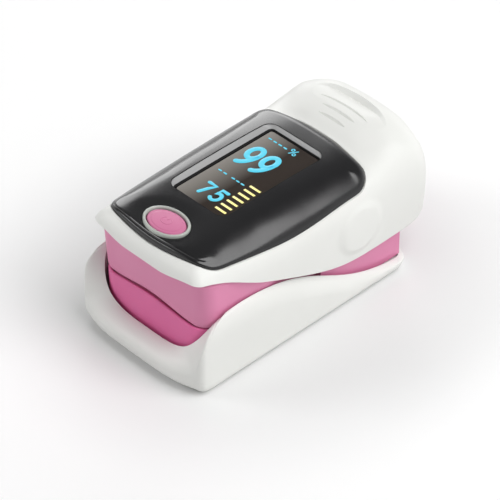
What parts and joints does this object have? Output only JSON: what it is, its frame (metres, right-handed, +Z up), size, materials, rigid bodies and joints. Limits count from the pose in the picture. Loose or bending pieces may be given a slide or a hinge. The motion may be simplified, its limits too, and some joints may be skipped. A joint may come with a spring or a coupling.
{
  "type": "fingertip pulse oximeter",
  "caption": "Spring clip for a fingertip with a hinged upper half that carries a display plate and a round button, over a lower half with a sensor pad and a battery bay.",
  "frame": {"origin": "centre of the bounding box's bottom: the underside that the clip stands on", "axes": "+Z up out of the display side; Y along the length with the finger mouth at -Y and the pinch end at +Y; X across the width"},
  "size_m": [0.0326, 0.063, 0.0303],
  "materials": {
    "white_shell": "satin white",
    "black_panel": "gloss black",
    "smoked_lens": "smoked, clear",
    "dark_plastic": "matte black",
    "board": "green board",
    "pink_plastic": "satin pink",
    "pink_button": "satin pink",
    "pink_silicone": "soft, matte",
    "pale_ring": "pale, bright",
    "clear_window": "clear",
    "cell_jacket": "plain printed sleeve",
    "steel": "bright steel"
  },
  "bodies": {
    "lower_half": {"lower_shell": "white_shell", "lower_chassis": "pink_plastic", "lower_finger_pad": "pink_silicone", "detector": "dark_plastic", "detector_window": "clear_window", "battery_left": "cell_jacket", "battery_right": "cell_jacket", "contact_front": "steel", "contact_rear": "steel", "spring_rear": "steel", "spring_front": "steel", "hinge_pin": "steel", "torsion_spring_left": "steel", "torsion_spring_right": "steel"},
    "upper_half": {"upper_shell": "white_shell", "display_panel": "black_panel", "display_lens": "smoked_lens", "oled_module": "dark_plastic", "oled_holder": "white_shell", "main_board": "board", "upper_chassis": "pink_plastic", "upper_finger_pad": "pink_silicone", "emitter_led": "clear_window", "emitter_window": "clear_window", "upper_screw_left": "steel", "upper_screw_right": "steel", "button_ring": "pale_ring", "tact_switch": "dark_plastic"},
    "button": {"power_button": "pink_button"},
    "door": {"battery_door": "white_shell"}
  },
  "joints": [
    {"name": "jaw_hinge", "type": "hinge", "parent": "lower_half", "child": "upper_half", "pos_m": [0, 0.0104, 0.0168], "axis": [-1, 0, 0], "range_deg": [0, 20], "stiffness_Nm_per_rad": 0.12, "springref_deg": -22.92, "deforming": ["torsion_spring_left", "torsion_spring_right"]},
    {"name": "button_press", "type": "slide", "parent": "upper_half", "child": "button", "axis": [0, 0, -1], "range_m": [0, 0.0003], "stiffness_N_per_m": 800},
    {"name": "door_slide", "type": "slide", "parent": "lower_half", "child": "door", "axis": [0, 1, 0], "range_m": [0, 0.05]}
  ]
}
